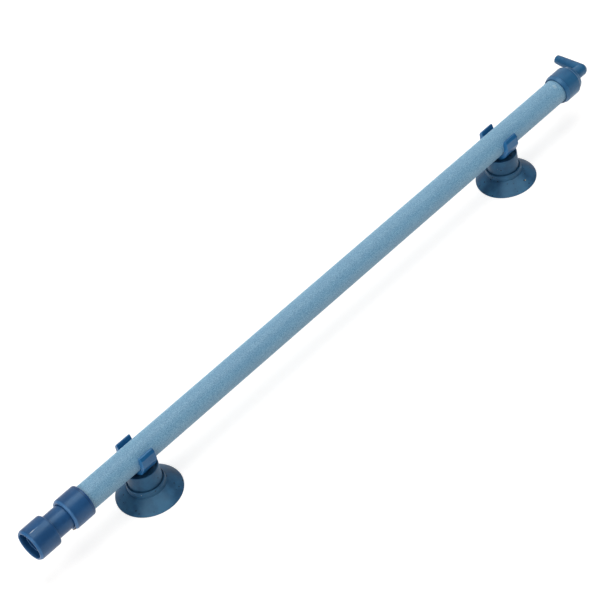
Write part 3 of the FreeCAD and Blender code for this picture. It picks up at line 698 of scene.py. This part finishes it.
def make_cup(side, node, draw_in):
    """A cup; draw_in is how far its rim lies in on the drawn side, in mm."""
    shape = turn_section(CUP_SECTION, closed=False)
    round_rings(shape, CUP_HOLLOW, radius=0.15)
    round_rings(shape, CUP_STEM_TOP, radius=0.2)
    round_rings(shape, CUP_GROOVE, radius=0.12)
    round_rings(shape, CUP_BEAD_FOOT, radius=0.12)
    round_rings(shape, CUP_RIM, radius=0.12)
    for vert in shape.verts:
        outward = Vector((vert.co.x, vert.co.y, 0.0))
        facing = outward.normalized().dot(DRAWN_SIDE) if outward.length > 0 else 0.0
        reach = (outward.length - SKIRT_START) / (RIM_RADIUS - SKIRT_START)
        if facing > 0 and reach > 0:
            vert.co -= outward.normalized() * draw_in * MM * reach * facing ** 2
    low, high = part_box(node)
    middle = (Vector(low) + Vector(high)) / 2
    bmesh.ops.translate(shape, verts=shape.verts, vec=(middle.x, middle.y, low[2]))
    cup = make_piece("rubber_cup_" + side, shape, cup_rubber)
    stands_for(cup, node)


make_cup("near", "suction_cup_near", draw_in=0.4)
make_cup("far", "suction_cup_far", draw_in=1.3)

# %% [markdown]
# ## The floor
#
# The object lies on a white sweep with very faint shadows. A floor that is truly white would need so much light that
# the object washes out. So the floor's material looks at the kind of ray: to the camera and in reflections it shows
# mostly a flat white with a little real shading, which keeps the shadow, and for all other light it is plain pale.

# %% Lay the floor
FLOOR_SIZE = 6.0
FLOOR_DROP = 0.02 * MM
mesh = bpy.data.meshes.new("floor")
sheet = bmesh.new()
bmesh.ops.create_grid(sheet, x_segments=1, y_segments=1, size=FLOOR_SIZE / 2)
bmesh.ops.translate(sheet, vec=(0, 0, cad_low[2] - FLOOR_DROP), verts=sheet.verts)
sheet.to_mesh(mesh)
sheet.free()
floor = bpy.data.objects.new("floor", mesh)
bpy.context.collection.objects.link(floor)
print("floor %.0f m wide" % FLOOR_SIZE)

# %% Floor with a faint shadow
floor_material = bpy.data.materials.new("floor_white")
floor_material.use_nodes = True
tree = floor_material.node_tree
tree.nodes.clear()
plain = add_node(tree, "ShaderNodeBsdfDiffuse", "plain pale floor", Color=(0.9, 0.9, 0.9, 1.0))
shaded = add_node(tree, "ShaderNodeBsdfDiffuse", "shading the camera sees", Color=(0.56, 0.54, 0.52, 1.0))
white = add_node(tree, "ShaderNodeEmission", "flat white", Color=(1.0, 1.0, 1.0, 1.0), Strength=0.715)
shown = add_node(tree, "ShaderNodeAddShader", "what the camera sees")
rays = add_node(tree, "ShaderNodeLightPath")
choice = add_node(tree, "ShaderNodeMixShader")
output = add_node(tree, "ShaderNodeOutputMaterial")
tree.links.new(shaded.outputs[0], shown.inputs[0])
tree.links.new(white.outputs[0], shown.inputs[1])
seen = calculate(tree, "MAXIMUM", rays.outputs["Is Camera Ray"], rays.outputs["Is Glossy Ray"])
seen = calculate(tree, "MAXIMUM", seen, rays.outputs["Is Transmission Ray"])
tree.links.new(seen, choice.inputs[0])
tree.links.new(plain.outputs[0], choice.inputs[1])
tree.links.new(shown.outputs[0], choice.inputs[2])
tree.links.new(choice.outputs[0], output.inputs["Surface"])
mesh.materials.append(floor_material)
print("material:", floor_material.name)

# %% [markdown]
# ## World and lamps
#
# The light is a long soft box straight overhead, so the shadow lies right under the tube, and two paler panels: one
# far behind, which lights the back edges, and one at the near end, which makes the rims of the fittings shine. A
# dim, even sky fills the side that faces the camera. The sky is white to the camera and dimmer as a light, so that
# colours keep the value they are written with.

# %% Make the sky
world = bpy.data.worlds.new("sky")
bpy.context.scene.world = world
world.use_nodes = True
tree = world.node_tree
tree.nodes.clear()
fill = add_node(tree, "ShaderNodeBackground", "fill light", Color=(1.0, 1.0, 1.0, 1.0), Strength=0.18)
backdrop = add_node(tree, "ShaderNodeBackground", "backdrop", Color=(1.0, 1.0, 1.0, 1.0), Strength=1.0)
rays = add_node(tree, "ShaderNodeLightPath")
choice = add_node(tree, "ShaderNodeMixShader")
output = add_node(tree, "ShaderNodeOutputWorld")
tree.links.new(rays.outputs["Is Camera Ray"], choice.inputs[0])
tree.links.new(fill.outputs[0], choice.inputs[1])
tree.links.new(backdrop.outputs[0], choice.inputs[2])
tree.links.new(choice.outputs[0], output.inputs["Surface"])
print("world:", world.name)


# %% Hang the lamps
def soft_box(name, place, target, size, power):
    """A rectangular area lamp at a place, pointing at a target, with its power in watts."""
    data = bpy.data.lights.new(name, "AREA")
    data.shape = "RECTANGLE"
    data.size, data.size_y = size
    data.energy = power
    lamp = bpy.data.objects.new(name, data)
    lamp.location = place
    lamp.rotation_euler = (Vector(target) - Vector(place)).to_track_quat("-Z", "Y").to_euler()
    lamp.visible_camera = False
    bpy.context.collection.objects.link(lamp)
    print("lamp:", name, "of", power, "W")


soft_box("overhead_box", place=(0.35, 0.04, 1.6), target=(0.35, 0.04, 0.0), size=(1.4, 1.1), power=14.2)
soft_box("back_panel", place=(1.03, 1.47, 0.9), target=(0, 0, 0), size=(1.6, 1.4), power=6.0)
soft_box("left_panel", place=(-1.3, -0.2, 1.15), target=(0, 0, 0), size=(1.6, 1.0), power=10.5)

# %% [markdown]
# ## The camera
#
# The camera looks down on the object from its near end with a long lens. Its place, direction and roll were worked
# out from the round rims and the straight tube, and its place is counted from the middle of the near clip.

# %% Set the camera
FOCAL_LENGTH = 121.28
SENSOR_WIDTH = 36.0
PLACE_FROM_CLIP = (-0.29680, -0.52700, 0.60880)
LOOK = Vector((0.45355, 0.59942, -0.65954))
ROLL = math.radians(-14.21)
camera_data = bpy.data.cameras.new("camera")
camera_data.sensor_width = SENSOR_WIDTH
camera_data.lens = FOCAL_LENGTH
camera_data.clip_start = 0.05
camera_data.clip_end = 20.0
camera = bpy.data.objects.new("camera", camera_data)
clip_low, clip_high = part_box("clip_near")
near_clip_x = (clip_low[0] + clip_high[0]) / 2
camera.location = (near_clip_x + PLACE_FROM_CLIP[0], PLACE_FROM_CLIP[1], PLACE_FROM_CLIP[2])
camera.rotation_mode = "QUATERNION"
camera.rotation_quaternion = LOOK.to_track_quat("-Z", "Y") @ Euler((0, 0, ROLL)).to_quaternion()
bpy.context.collection.objects.link(camera)
bpy.context.scene.camera = camera
bpy.context.scene.view_settings.view_transform = "Standard"
print("camera at", [round(number, 3) for number in camera.location])
